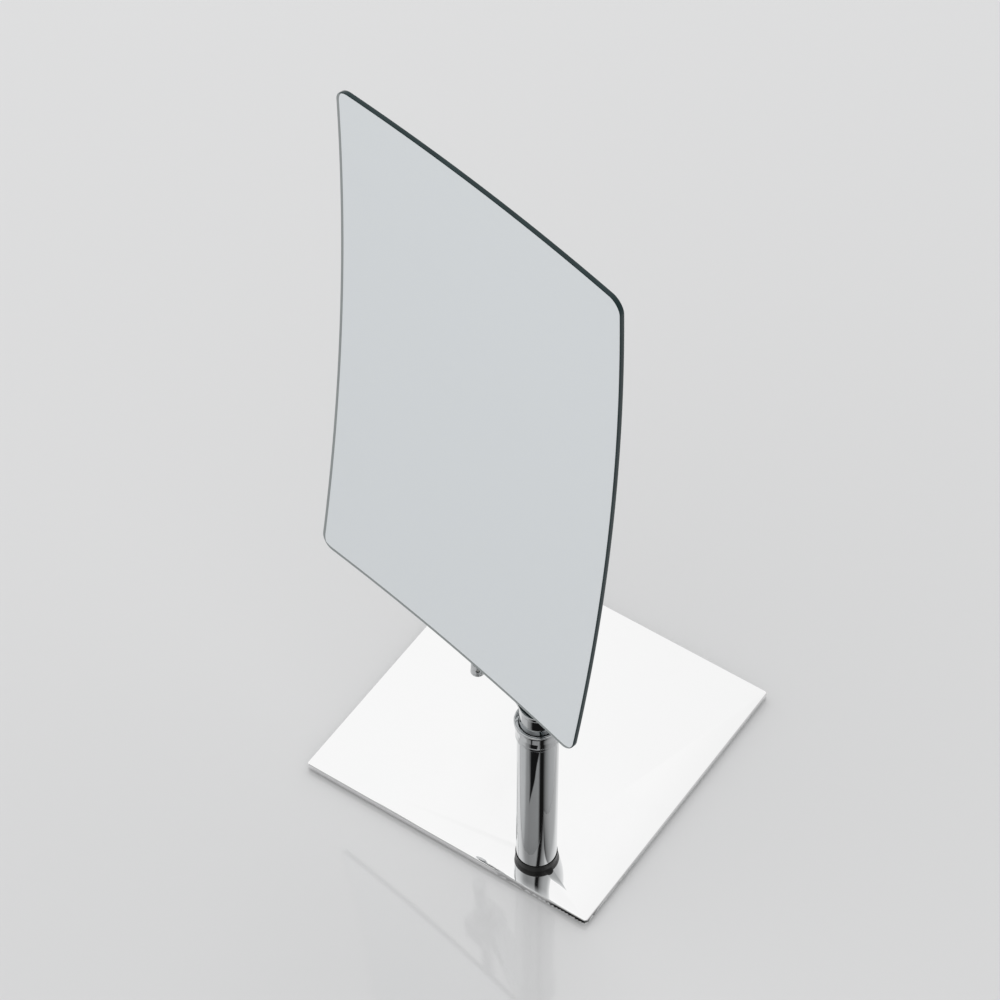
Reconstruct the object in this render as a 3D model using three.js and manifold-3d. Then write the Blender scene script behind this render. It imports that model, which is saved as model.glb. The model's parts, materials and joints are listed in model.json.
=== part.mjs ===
// Countertop fitting mirror: a square polished base, a telescopic chrome pole near its front right
// corner, a swing arm with a friction tilt clamp, and a frameless dished mirror on a sliding stem.
// Millimetres, +Z up, the front of the base towards -Y. The origin is on the table, under the base.

import * as THREE from 'three';
import { mergeVertices } from 'three/addons/utils/BufferGeometryUtils.js';
import Module from 'manifold-3d';

const wasm = await Module();
wasm.setup();

// Base
const baseSide = 200;
const baseThickness = 4;
const baseCornerRadius = 1.5;
const matSide = 194;
const matThickness = 1;
const matHoleRadius = 8;
const seatGap = 0.3; // left between pieces that rest on, or run in, each other
const baseBottom = matThickness + seatGap;
const baseTop = baseBottom + baseThickness;

// Pole
const poleX = 50;
const poleY = -77;
const lowerTubeRadius = 12;
const lowerTubeWall = 0.8;
const lowerTubeTop = 131;
const upperTubeRadius = 10.8;
const upperTubeWall = 1;
const upperTubeBottom = 42;
const upperTubeTop = 150.6;
const collarBottom = 125.5;
const collarTop = 139;
const gasketRadius = 12.4;
const gasketHeight = 4.8;
const gasketLip = 2.8;

// Mirror glass: a rectangle with round corners, dished to a sphere so that it enlarges a little
const glassWidth = 206.2;
const glassHeight = 347.6;
const glassThickness = 3;
const glassCornerRadius = 8.5;
const glassEdgeChamfer = 0.6;
const dishRadius = 1600;
// The long and the short sides stand out this much in their middles
const glassSideBow = 1.2;
const glassEndBow = 0.4;

// The head's origin, its turn about the vertical and its lean
const mirrorX = -15.2;
const mirrorY = -75;
const mirrorZ = 156.8;
const mirrorYaw = THREE.MathUtils.degToRad(-12.35);
const mirrorLean = THREE.MathUtils.degToRad(4.3);

// Glass, stem, clamp and arm, from the head's origin: y backwards, z up along the stem
const glassShift = -0.46;
const glassLow = -0.9;
const stemRadius = 4;
const stemBack = 29;
const stemBottom = -46;
const stemTop = 252;
const tiltHeight = 6;
const clampHalfWidth = 8;
const clampFront = 9;
const clampRear = 12;
const pinchBack = 8.5;
const clampHalfHeight = 11;
const armThickness = 2.5;
const armBottom = upperTubeTop + seatGap;
const earThickness = 2.5;
const earOffset = 10.2;

const roundSides = 48;
const smallSides = 24;

// ---------- shape helpers ----------

function weld(geometry) {
  const bare = geometry.index ? geometry.toNonIndexed() : geometry.clone();
  for (const name of Object.keys(bare.attributes)) {
    if (name !== 'position') {
      bare.deleteAttribute(name);
    }
  }
  return mergeVertices(bare, 1e-4);
}

function toSolid(geometry) {
  const welded = weld(geometry);
  return new wasm.Manifold(new wasm.Mesh({
    numProp: 3,
    vertProperties: new Float32Array(welded.attributes.position.array),
    triVerts: new Uint32Array(welded.index.array),
  }));
}

function toGeometry(solid) {
  const mesh = solid.getMesh();
  const geometry = new THREE.BufferGeometry();
  geometry.setAttribute('position', new THREE.BufferAttribute(new Float32Array(mesh.vertProperties), 3));
  geometry.setIndex(Array.from(mesh.triVerts));
  return geometry;
}

function cut(geometry, ...tools) {
  return toGeometry(tools.reduce((solid, tool) => solid.subtract(toSolid(tool)), toSolid(geometry)));
}

function join(geometry, ...others) {
  return toGeometry(others.reduce((solid, other) => solid.add(toSolid(other)), toSolid(geometry)));
}

// Turns a profile of [radius, height] points about Z. The outside runs upwards; a ring's profile
// goes round and comes back to its first point, a full body's starts and ends on the axis.
function turned(profile, sides = roundSides) {
  const points = profile.map(([radius, height]) => new THREE.Vector2(radius, height));
  return new THREE.LatheGeometry(points, sides).rotateX(Math.PI / 2);
}

function ring(inner, outer, bottom, top, sides = roundSides) {
  return turned([[inner, bottom], [outer, bottom], [outer, top], [inner, top], [inner, bottom]], sides);
}

function rod(radius, bottom, top, sides = smallSides) {
  return turned([[0, bottom], [radius, bottom], [radius, top], [0, top]], sides);
}

function block(width, depth, height, x = 0, y = 0, z = 0) {
  return new THREE.BoxGeometry(width, depth, height).translate(x, y, z);
}

function hexagon(acrossFlats, bottom, top) {
  return rod(acrossFlats / Math.sqrt(3), bottom, top, 6);
}

// A flat-headed screw with its head at z = 0 and its thread going down
function sunkScrew(shaftRadius, length, headRadius, headHeight, socket) {
  const body = turned([
    [0, -length], [shaftRadius - 0.4, -length], [shaftRadius, 0.6 - length], [shaftRadius, -headHeight],
    [headRadius, -0.4], [headRadius, 0], [0, 0],
  ], smallSides);
  return cut(body, hexagon(socket, -headHeight * 0.7, 1));
}

// A cap screw with the seat of its head at z = 0, its head up and its shaft down
function capScrew(shaftRadius, length, headRadius, headHeight, socket) {
  const body = turned([
    [0, -length], [shaftRadius - 0.3, -length], [shaftRadius, 0.5 - length], [shaftRadius, 0],
    [headRadius, 0], [headRadius, headHeight - 0.5], [headRadius - 0.5, headHeight], [0, headHeight],
  ], smallSides);
  return cut(body, hexagon(socket, headHeight * 0.4, headHeight + 1));
}

function grubScrew(radius, length, socket) {
  const body = turned([
    [0, -length], [radius * 0.6, -length], [radius, 0.7 - length], [radius, -0.3], [radius - 0.3, 0], [0, 0],
  ], smallSides);
  return cut(body, hexagon(socket, -length * 0.5, 1));
}

// ---------- assembly helpers ----------

const metal = { roughness: 0.12, metalness: 1 };
const finishes = {
  polished: { color: '#eef0f1', roughness: 0.04, metalness: 1 },
  chrome: { color: '#d5d9dc', ...metal },
  zinc: { color: '#a9adb0', roughness: 0.35, metalness: 1 },
  black: { color: '#151617', roughness: 0.55, metalness: 0 },
  alloy: { color: '#b4b7ba', roughness: 0.4, metalness: 1 },
  foam: { color: '#2c2d2f', roughness: 0.9, metalness: 0 },
  glass: { color: '#ccd2d5', roughness: 0.02, metalness: 1 },
};

function piece(name, geometry, finish, parent) {
  const bare = weld(geometry);
  bare.computeVertexNormals();
  const mesh = new THREE.Mesh(bare, new THREE.MeshStandardMaterial(finishes[finish]));
  mesh.name = name;
  parent.add(mesh);
  return mesh;
}

const mirrorStand = new THREE.Group();
const base = new THREE.Group();
const pole = new THREE.Group();
pole.position.set(poleX, poleY, 0);
mirrorStand.add(base, pole);

// ---------- base ----------

function roundedSquare(side, radius) {
  const half = side / 2;
  const shape = new THREE.Shape();
  shape.moveTo(half - radius, -half);
  shape.absarc(half - radius, radius - half, radius, -Math.PI / 2, 0);
  shape.absarc(half - radius, half - radius, radius, 0, Math.PI / 2);
  shape.absarc(radius - half, half - radius, radius, Math.PI / 2, Math.PI);
  shape.absarc(radius - half, radius - half, radius, Math.PI, Math.PI * 1.5);
  return shape;
}

function basePlate() {
  const edge = 0.4;
  const plate = new THREE.ExtrudeGeometry(roundedSquare(baseSide - 2 * edge, baseCornerRadius), {
    depth: baseThickness - 2 * edge,
    bevelEnabled: true,
    bevelSize: edge,
    bevelThickness: edge,
    bevelSegments: 1,
    curveSegments: 4,
  }).translate(0, 0, baseBottom + edge);
  const hole = rod(3.4, 0, baseTop + 1).translate(poleX, poleY, 0);
  const sink = turned([[0, 0], [6.9, 0], [6.9, baseBottom + 0.6], [3.4, baseBottom + 3.9], [0, baseBottom + 3.9]],
    smallSides).translate(poleX, poleY, 0);
  return cut(plate, hole, sink);
}

piece('base_plate', basePlate(), 'polished', base);

// One sheet of rubber under the plate, with a hole for the foot screw
const mat = new THREE.ExtrudeGeometry(roundedSquare(matSide, 4), {
  depth: matThickness,
  bevelEnabled: false,
  curveSegments: 6,
});
piece('base_mat', cut(mat, rod(matHoleRadius, -1, matThickness + 1).translate(poleX, poleY, 0)), 'black', base);

// ---------- pole foot ----------

const footScrewHead = baseBottom + 0.3;
const tubeSeat = baseTop + gasketLip + seatGap;
const gasketBore = 8.4;
const lowerBore = lowerTubeRadius - lowerTubeWall;

piece('foot_screw', sunkScrew(3, 22, 6.4, 3.4, 4).rotateX(Math.PI).translate(0, 0, footScrewHead), 'zinc', pole);

piece('foot_gasket', turned([
  [gasketBore, baseTop], [gasketRadius, baseTop], [gasketRadius, baseTop + gasketHeight - 0.1],
  [gasketRadius - 0.1, baseTop + gasketHeight], [lowerTubeRadius + 0.15, baseTop + gasketHeight],
  [lowerTubeRadius + 0.15, baseTop + gasketLip], [gasketBore, baseTop + gasketLip], [gasketBore, baseTop],
]), 'black', pole);

const footPlug = turned([
  [3.3, baseTop + seatGap], [8.1, baseTop + seatGap], [8.1, tubeSeat], [lowerBore - seatGap, tubeSeat],
  [lowerBore - seatGap, 29], [lowerBore - 1.3, 30], [3.3, 30], [3.3, baseTop + seatGap],
]);
piece('foot_plug', footPlug, 'alloy', pole);

// ---------- lower tube and collar ----------

piece('lower_tube', ring(lowerBore, lowerTubeRadius, tubeSeat, lowerTubeTop), 'chrome', pole);

const bushBottom = lowerTubeTop + seatGap;
const bushTop = bushBottom + 5.2;
const collarBore = lowerTubeRadius + seatGap;
const lipBore = upperTubeRadius + seatGap;
piece('pole_collar', turned([
  [collarBore, collarBottom], [12.8, collarBottom], [13, collarBottom + 0.3], [13, collarBottom + 2.1],
  [12.75, collarBottom + 2.3], [12.75, collarBottom + 2.7], [13.05, collarBottom + 2.9], [13.15, collarBottom + 6.5],
  [13.5, collarTop - 2.4], [13.8, collarTop - 0.8], [13.6, collarTop - 0.2], [13.2, collarTop],
  [12.8, collarTop - 0.2], [11.6, collarTop - 0.8], [lipBore, collarTop - 1.2], [lipBore, bushTop + seatGap],
  [collarBore, bushTop + seatGap], [collarBore, collarBottom],
]), 'chrome', pole);

piece('collar_bush', ring(upperTubeRadius + seatGap, lowerTubeRadius, bushBottom, bushTop), 'black', pole);

// ---------- upper tube, with the glide that it turns on ----------

const upperBore = upperTubeRadius - upperTubeWall;
const glideBottom = upperTubeBottom - 8;
const glideShoulder = upperTubeBottom - seatGap;
const glideTop = upperTubeBottom + 8;

piece('pole_glide', turned([
  [3.4, glideBottom + 4], [5.6, glideBottom + 4], [5.6, glideBottom], [lowerBore - 0.8, glideBottom],
  [lowerBore - seatGap, glideBottom + 0.6], [lowerBore - seatGap, glideShoulder], [upperBore - seatGap, glideShoulder],
  [upperBore - seatGap, glideTop], [3.4, glideTop], [3.4, glideBottom + 4],
]), 'black', pole);

piece('swivel_screw', capScrew(3, 22, 5, 3.2, 4).rotateX(Math.PI).translate(0, 0, glideBottom + 4 - seatGap),
  'zinc', pole);

piece('lower_plug', ring(3.3, upperBore - seatGap, glideTop + seatGap, glideTop + 14, smallSides), 'alloy', pole);

piece('upper_tube', ring(upperBore, upperTubeRadius, upperTubeBottom, upperTubeTop), 'chrome', pole);

piece('top_plug', ring(2.8, upperBore - seatGap, upperTubeTop - 18, upperTubeTop, smallSides), 'alloy', pole);

// ---------- swing arm ----------
// In the arm's group the origin is the pole's axis, x runs to the right along the mirror's width and
// y backwards. The stem is one arm's length to the left.

const arm = new THREE.Group();
arm.rotation.z = mirrorYaw;
pole.add(arm);

const backward = new THREE.Vector3(-Math.sin(mirrorYaw), Math.cos(mirrorYaw), 0);
const sideways = new THREE.Vector3(Math.cos(mirrorYaw), Math.sin(mirrorYaw), 0);
const stemFoot = new THREE.Vector3(mirrorX, mirrorY, mirrorZ)
  .addScaledVector(backward, stemBack * Math.cos(mirrorLean) + tiltHeight * Math.sin(mirrorLean));
const tiltZ = mirrorZ + tiltHeight * Math.cos(mirrorLean) - stemBack * Math.sin(mirrorLean);
const fromPole = stemFoot.clone().sub(new THREE.Vector3(poleX, poleY, mirrorZ));
const tiltX = fromPole.dot(sideways);
const tiltY = fromPole.dot(backward);
const armTop = armBottom + armThickness;
const armEndRadius = upperTubeRadius;
const earLeft = tiltX + earOffset;
const earHalfWidth = 8;

function armPlate() {
  const outline = new THREE.Shape();
  const startAngle = Math.PI * 0.62;
  outline.moveTo(earLeft, tiltY - earHalfWidth);
  outline.lineTo(-armEndRadius * Math.sin(0.3), -armEndRadius * Math.cos(0.3));
  outline.absarc(0, 0, armEndRadius, -Math.PI / 2 - 0.3, startAngle, false);
  outline.lineTo(earLeft, tiltY + earHalfWidth);
  const flat = new THREE.ExtrudeGeometry(outline, { depth: armThickness, bevelEnabled: false, curveSegments: 24 })
    .translate(0, 0, armBottom);
  const earTop = tiltZ + earHalfWidth;
  const ear = new THREE.Shape();
  ear.moveTo(-earHalfWidth, armBottom);
  ear.lineTo(earHalfWidth, armBottom);
  ear.absarc(0, tiltZ, earHalfWidth, 0, Math.PI, false);
  const wall = new THREE.ExtrudeGeometry(ear, { depth: earThickness, bevelEnabled: false, curveSegments: 16 })
    .rotateX(Math.PI / 2)
    .rotateZ(Math.PI / 2)
    .translate(earLeft, tiltY, 0);
  const plate = join(flat, wall);
  const screwSeat = turned([
    [0, armBottom - 1], [2.9, armBottom - 1], [2.9, armTop - 2.4], [5.2, armTop - 0.8], [5.2, armTop + 1],
    [0, armTop + 1],
  ], smallSides);
  const pivotHole = rod(2.9, -2, earThickness + 2).rotateY(Math.PI / 2).translate(earLeft, tiltY, tiltZ);
  const corner = block(40, 40, 6, earLeft - 20, tiltY, earTop + 3);
  return cut(plate, screwSeat, pivotHole, corner);
}

piece('swing_arm', armPlate(), 'chrome', arm);
piece('arm_screw', sunkScrew(2.5, 16, 4.8, 2.2, 3).translate(0, 0, armTop - 0.1), 'zinc', arm);

// ---------- leaning head ----------
// The origin is at the middle of the glass's lower edge, x to the right, y backwards, z up the glass.

const head = new THREE.Group();
head.rotation.order = 'ZXY';
head.rotation.set(-mirrorLean, 0, mirrorYaw);
head.position.set(mirrorX, mirrorY, mirrorZ);
mirrorStand.add(head);

const blockLeft = -clampHalfWidth;

function stemClamp() {
  const body = block(2 * clampHalfWidth, clampFront + clampRear, 2 * clampHalfHeight)
    .translate(0, stemBack + (clampRear - clampFront) / 2, tiltHeight);
  const bore = rod(6, -30, 40).translate(0, stemBack, 0);
  const slit = block(1.6, 12, 40, 0, stemBack + 11, tiltHeight);
  const pinchHole = rod(2, -20, 20).rotateY(Math.PI / 2).translate(0, stemBack + pinchBack, tiltHeight - 4);
  const pivotHole = rod(2.7, 6.6, 20).rotateY(Math.PI / 2).translate(0, stemBack, tiltHeight);
  return cut(body, bore, slit, pinchHole, pivotHole);
}

piece('stem_clamp', stemClamp(), 'alloy', head);

const washerGap = 0.25;
const innerWasher = clampHalfWidth + washerGap;
const washerThickness = earOffset - clampHalfWidth - 2 * washerGap;
const outerWasher = earOffset + earThickness + washerGap;
const onTiltAxis = (geometry) => geometry.rotateY(Math.PI / 2).translate(0, stemBack, tiltHeight);
piece('inner_friction_washer', onTiltAxis(ring(2.8, 6.5, innerWasher, innerWasher + washerThickness, smallSides)),
  'black', head);
piece('outer_friction_washer', onTiltAxis(ring(2.8, 5.5, outerWasher, outerWasher + 1, smallSides)), 'black', head);
const screwSeatX = outerWasher + 1 + washerGap;
piece('tilt_screw', onTiltAxis(capScrew(2.4, screwSeatX - 6.9, 4, 2.6, 2.5).translate(0, 0, screwSeatX)),
  'zinc', head);

const pinchScrew = capScrew(1.7, 15, 3, 2.4, 2.5)
  .rotateY(-Math.PI / 2)
  .translate(blockLeft - seatGap, stemBack + pinchBack, tiltHeight - 4);
piece('pinch_screw', pinchScrew, 'zinc', head);

const bushInner = stemRadius + seatGap;
const clampBottom = tiltHeight - clampHalfHeight;
const clampTop = tiltHeight + clampHalfHeight;
piece('stem_bush', turned([
  [bushInner, clampBottom - 2.6], [5.6, clampBottom - 2.6], [5.6, clampTop + seatGap], [7.4, clampTop + seatGap],
  [7.4, clampTop + 1.8], [bushInner, clampTop + 1.8], [bushInner, clampBottom - 2.6],
], smallSides).translate(0, stemBack, 0), 'black', head);
piece('bush_clip', ring(5.9, 7.2, clampBottom - 1.7, clampBottom - 0.5, smallSides).translate(0, stemBack, 0),
  'zinc', head);

// ---------- stem ----------

const capHeight = 9;
const capTop = stemBottom + capHeight;
const spigotRadius = 2.2;

piece('stem', turned([
  [0, capTop - 5], [spigotRadius, capTop - 5], [spigotRadius, capTop + seatGap], [stemRadius, capTop + seatGap],
  [stemRadius, stemTop - 0.6], [stemRadius - 0.6, stemTop], [0, stemTop],
], smallSides).translate(0, stemBack, 0), 'chrome', head);

const capScrewHeight = stemBottom + 5.5;
const capScrewTurn = THREE.MathUtils.degToRad(-43);
const facingOut = (geometry, height) => geometry
  .rotateX(Math.PI / 2)
  .rotateZ(-capScrewTurn)
  .translate(0, stemBack, height);

function stemEndCap() {
  const outer = stemRadius + 0.25;
  const shell = turned([
    [0, stemBottom], [outer - 1, stemBottom], [outer - 0.3, stemBottom + 0.3], [outer, stemBottom + 1],
    [outer, stemBottom + 1.9], [outer - 0.25, stemBottom + 2.1], [outer, stemBottom + 2.3],
    [outer, capTop], [spigotRadius + seatGap, capTop], [spigotRadius + seatGap, capTop - 5 - seatGap],
    [0, capTop - 5 - seatGap],
  ], smallSides).translate(0, stemBack, 0);
  return cut(shell, facingOut(rod(1.25, 2.4, 6, 16), capScrewHeight));
}

piece('stem_end_cap', stemEndCap(), 'chrome', head);
piece('end_cap_screw', facingOut(grubScrew(1, 1.4, 0.9).translate(0, 0, stemRadius), capScrewHeight), 'black', head);

// ---------- dished glass and what holds it ----------

const sphereY = -Math.sqrt(dishRadius ** 2 - (glassWidth / 2) ** 2 - (glassHeight / 2) ** 2);
const glassMiddle = glassLow + glassHeight / 2;
const dishY = (x, z) => sphereY + Math.sqrt(dishRadius ** 2 - (x - glassShift) ** 2 - (z - glassMiddle) ** 2);

// Grid stops across one side: fine in the round corners, even between them
function stops(length, radius, cornerSteps, middleSteps) {
  const half = length / 2;
  const list = [];
  for (let i = 0; i < cornerSteps; i += 1) {
    list.push(-half + (radius * i) / cornerSteps);
  }
  for (let i = 0; i <= middleSteps; i += 1) {
    list.push(-half + radius + ((length - 2 * radius) * i) / middleSteps);
  }
  for (let i = 1; i <= cornerSteps; i += 1) {
    list.push(half - radius + (radius * i) / cornerSteps);
  }
  return list;
}

// A panel with round corners that follows the dish. Its four layers are the front face, the two
// rims of the edge and the back face; inset draws the faces in from the rims as a ground edge, and
// the bows push the middles of the sides and ends out.
function dishedPanel({
  width, height, radius, front, thickness, inset, across, up, centreZ, centreX = 0, sideBow = 0, endBow = 0,
}) {
  const steps = 4;
  const columns = stops(width, radius, steps, across);
  const rows = stops(height, radius, steps, up);
  const place = (x, z, shrink) => {
    const halfWidth = width / 2 - radius;
    const halfHeight = height / 2 - radius;
    const overX = Math.max(Math.abs(x) - halfWidth, 0) / radius;
    const overZ = Math.max(Math.abs(z) - halfHeight, 0) / radius;
    const reach = radius - shrink;
    const sideX = overX * Math.sqrt(1 - overZ ** 2 / 2) * reach;
    const sideZ = overZ * Math.sqrt(1 - overX ** 2 / 2) * reach;
    const flatX = Math.sign(x) * (Math.min(Math.abs(x), halfWidth) + sideX);
    const flatZ = Math.sign(z) * (Math.min(Math.abs(z), halfHeight) + sideZ);
    const partX = flatX / (width / 2);
    const partZ = flatZ / (height / 2);
    return [
      flatX + partX * sideBow * (1 - partZ ** 2) + centreX,
      flatZ + partZ * endBow * (1 - partX ** 2) + centreZ,
    ];
  };
  const positions = [];
  const indices = [];
  const addPoint = (x, z, shrink, depth) => {
    const [px, pz] = place(x, z, shrink);
    positions.push(px, dishY(px, pz) + depth, pz);
    return positions.length / 3 - 1;
  };
  const quad = (a, b, c, d) => indices.push(a, b, c, a, c, d);
  const face = (depth, isFront) => {
    const grid = rows.map((z) => columns.map((x) => addPoint(x, z, inset, depth)));
    for (let j = 0; j < rows.length - 1; j += 1) {
      for (let i = 0; i < columns.length - 1; i += 1) {
        const corners = [grid[j][i], grid[j][i + 1], grid[j + 1][i + 1], grid[j + 1][i]];
        quad(...(isFront ? corners : corners.reverse()));
      }
    }
    return grid;
  };
  const loop = [];
  columns.forEach((x, i) => loop.push([0, i]));
  rows.slice(1).forEach((z, j) => loop.push([j + 1, columns.length - 1]));
  columns.slice(0, -1).reverse().forEach((x, i) => loop.push([rows.length - 1, columns.length - 2 - i]));
  rows.slice(1, -1).reverse().forEach((z, j) => loop.push([rows.length - 2 - j, 0]));
  const rim = (depth) => loop.map(([j, i]) => addPoint(columns[i], rows[j], 0, depth));
  const frontGrid = face(front, true);
  const backGrid = face(front + thickness, false);
  const layers = [
    loop.map(([j, i]) => frontGrid[j][i]), rim(front + inset), rim(front + thickness - inset),
    loop.map(([j, i]) => backGrid[j][i]),
  ];
  for (let k = 0; k < layers.length - 1; k += 1) {
    for (let i = 0; i < loop.length; i += 1) {
      const next = (i + 1) % loop.length;
      quad(layers[k][i], layers[k + 1][i], layers[k + 1][next], layers[k][next]);
    }
  }
  const geometry = new THREE.BufferGeometry();
  geometry.setAttribute('position', new THREE.BufferAttribute(new Float32Array(positions), 3));
  geometry.setIndex(indices);
  return geometry;
}

piece('mirror_glass', dishedPanel({
  width: glassWidth,
  height: glassHeight,
  radius: glassCornerRadius,
  front: 0,
  thickness: glassThickness,
  inset: glassEdgeChamfer,
  across: 8,
  up: 14,
  centreX: glassShift,
  centreZ: glassMiddle,
  sideBow: glassSideBow,
  endBow: glassEndBow,
}), 'glass', head);

// Each bracket is a foot that follows the dish with a boss bored for the stem, on a foam pad
const bracketWidth = 46;
const bracketHeight = 36;
const footThickness = 2;
const padThickness = 1.2;
const bossWidth = 15;
const bossHeight = 24;
const bossBack = stemBack + 8;

function bracket(centreZ, isBlind) {
  const footFront = glassThickness + padThickness + seatGap;
  const foot = dishedPanel({
    width: bracketWidth,
    height: bracketHeight,
    radius: 4,
    front: footFront,
    thickness: footThickness,
    inset: 0.3,
    across: 2,
    up: 2,
    centreZ,
  });
  const bossFront = dishY(0, centreZ) + footFront + 0.9;
  const boss = block(bossWidth, bossBack - bossFront, bossHeight, 0, (bossBack + bossFront) / 2, centreZ);
  const boreTop = isBlind ? stemTop + seatGap : centreZ + bossHeight;
  const bore = rod(stemRadius + seatGap, centreZ - bossHeight, boreTop).translate(0, stemBack, 0);
  const screwHole = rod(2.3, 0, 12, 16).rotateX(-Math.PI / 2).translate(0, stemBack, centreZ);
  return cut(join(foot, boss), bore, screwHole);
}

function bracketScrew(centreZ) {
  return grubScrew(2, 3.4, 2).rotateX(-Math.PI / 2).translate(0, bossBack - 0.2, centreZ);
}

for (const [name, centreZ, isBlind] of [
  ['lower', 100, false],
  ['upper', stemTop - 8, true],
]) {
  piece(`${name}_foam_pad`, dishedPanel({
    width: bracketWidth - 4,
    height: bracketHeight - 4,
    radius: 3,
    front: glassThickness + seatGap,
    thickness: padThickness - seatGap,
    inset: 0,
    across: 2,
    up: 2,
    centreZ,
  }), 'foam', head);
  piece(`${name}_bracket`, bracket(centreZ, isBlind), 'alloy', head);
  piece(`${name}_bracket_screw`, bracketScrew(centreZ), 'zinc', head);
}

export default mirrorStand;
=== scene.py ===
import json
import math

import bmesh
import bpy
from mathutils import Matrix, Vector


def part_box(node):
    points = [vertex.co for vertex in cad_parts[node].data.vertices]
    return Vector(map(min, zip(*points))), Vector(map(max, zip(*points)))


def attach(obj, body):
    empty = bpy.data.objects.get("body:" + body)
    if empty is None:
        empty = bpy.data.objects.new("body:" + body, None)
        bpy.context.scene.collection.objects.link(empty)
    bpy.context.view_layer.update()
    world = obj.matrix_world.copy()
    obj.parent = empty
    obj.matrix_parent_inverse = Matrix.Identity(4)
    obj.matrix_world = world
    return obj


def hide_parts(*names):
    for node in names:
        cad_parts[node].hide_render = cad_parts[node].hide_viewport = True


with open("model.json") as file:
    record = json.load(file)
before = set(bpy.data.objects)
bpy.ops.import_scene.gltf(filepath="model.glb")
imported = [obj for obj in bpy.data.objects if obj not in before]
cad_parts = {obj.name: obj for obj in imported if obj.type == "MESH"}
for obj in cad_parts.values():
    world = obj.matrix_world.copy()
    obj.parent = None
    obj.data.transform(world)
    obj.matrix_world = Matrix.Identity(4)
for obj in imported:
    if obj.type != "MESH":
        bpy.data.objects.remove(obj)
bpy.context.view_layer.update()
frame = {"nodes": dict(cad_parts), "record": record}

# A countertop fitting mirror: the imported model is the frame, and each piece that shows is remade
# here with fine edges and its own finish. Lengths in the dictionaries are millimetres.

mm = 0.001
tiny = 1e-6
print("frame loaded,", len(frame["nodes"]), "nodes")

bodyOf = {node: body for body, nodes in frame["record"]["behaviour"]["bodies"].items() for node in nodes}
slotOf = {row["node"]: row["material_slot"] for row in frame["record"]["subparts"]}
jointOf = {joint["name"]: joint for joint in frame["record"]["behaviour"]["joints"]}


# Node trees as expressions

# One output socket that can be added, multiplied and so on like a number.
class Wire:
    def __init__(self, board, socket):
        self.board = board
        self.socket = socket

    def math(self, operation, *others):
        return self.board.add("ShaderNodeMath", {"operation": operation}, [self, *others])

    def __add__(self, other):
        return self.math("ADD", other)

    def __sub__(self, other):
        return self.math("SUBTRACT", other)

    def __rsub__(self, other):
        return self.board.add("ShaderNodeMath", {"operation": "SUBTRACT"}, [other, self])

    def __mul__(self, other):
        return self.math("MULTIPLY", other)

    def __truediv__(self, other):
        return self.math("DIVIDE", other)

    def __pow__(self, other):
        return self.math("POWER", other)

    __radd__ = __add__
    __rmul__ = __mul__

    # 0 below low, 1 above high and a soft step between.
    def ramp(self, low, high):
        settings = {"interpolation_type": "SMOOTHSTEP", "clamp": True}
        values = {"Value": self, "From Min": low, "From Max": high}
        return self.board.add("ShaderNodeMapRange", settings, values)


# A node tree that is wired from Python.
class Board:
    def __init__(self, tree):
        self.tree = tree
        tree.nodes.clear()

    # A node of this kind: its settings first, then the values or wires of its inputs.
    def add(self, kind, settings=None, values=(), output=0):
        node = self.tree.nodes.new(kind)
        for key, value in (settings or {}).items():
            if key == "stops":
                self.setStops(node.color_ramp.elements, value)
            else:
                setattr(node, key, value)
        pairs = values.items() if isinstance(values, dict) else enumerate(values)
        for key, value in pairs:
            if isinstance(value, Wire):
                self.tree.links.new(value.socket, node.inputs[key])
            else:
                node.inputs[key].default_value = value
        return Wire(self, node.outputs[output]) if len(node.outputs) else node

    def setStops(self, elements, stops):
        while len(elements) < len(stops):
            elements.new(0.5)
        for element, (place, colour) in zip(elements, stops):
            element.position = place
            element.color = colour

    # Colours one and two mixed; factor may be a wire.
    def mix(self, factor, first, second):
        node = self.tree.nodes.new("ShaderNodeMix")
        node.data_type = "RGBA"
        for place, value in ((0, factor), (6, first), (7, second)):     # 6 and 7 are its colour inputs
            if isinstance(value, Wire):
                self.tree.links.new(value.socket, node.inputs[place])
            else:
                node.inputs[place].default_value = value
        return Wire(self, node.outputs[2])

    # Object coordinates, stretched by scale.
    def place(self, scale=(1, 1, 1)):
        coords = self.add("ShaderNodeTexCoord", output="Object")
        return self.add("ShaderNodeMapping", None, {"Vector": coords, "Scale": scale})

    def noise(self, scale, detail=3.0, roughness=0.5, stretch=(1, 1, 1)):
        values = {"Vector": self.place(stretch), "Scale": scale, "Detail": detail, "Roughness": roughness}
        return self.add("ShaderNodeTexNoise", None, values, "Fac")

    def cells(self, scale, feature="F1", stretch=(1, 1, 1)):
        values = {"Vector": self.place(stretch), "Scale": scale}
        return self.add("ShaderNodeTexVoronoi", {"feature": feature}, values, "Distance")

    def bump(self, height, strength, distance):
        values = {"Height": height, "Strength": strength, "Distance": distance}
        return self.add("ShaderNodeBump", None, values, "Normal")

    # A Principled surface with these socket values.
    def finish(self, values):
        surface = self.add("ShaderNodeBsdfPrincipled", None, values)
        self.add("ShaderNodeOutputMaterial", None, {"Surface": surface})


def newFinish(name):
    material = bpy.data.materials.new(name)
    material.use_nodes = True
    return material, Board(material.node_tree)


# A neutral colour; a positive tint leans it towards blue.
def grey(level, tint=0.0):
    return (level * (1 - tint), level, level * (1 + tint * 0.6), 1)


# Finishes

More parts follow.
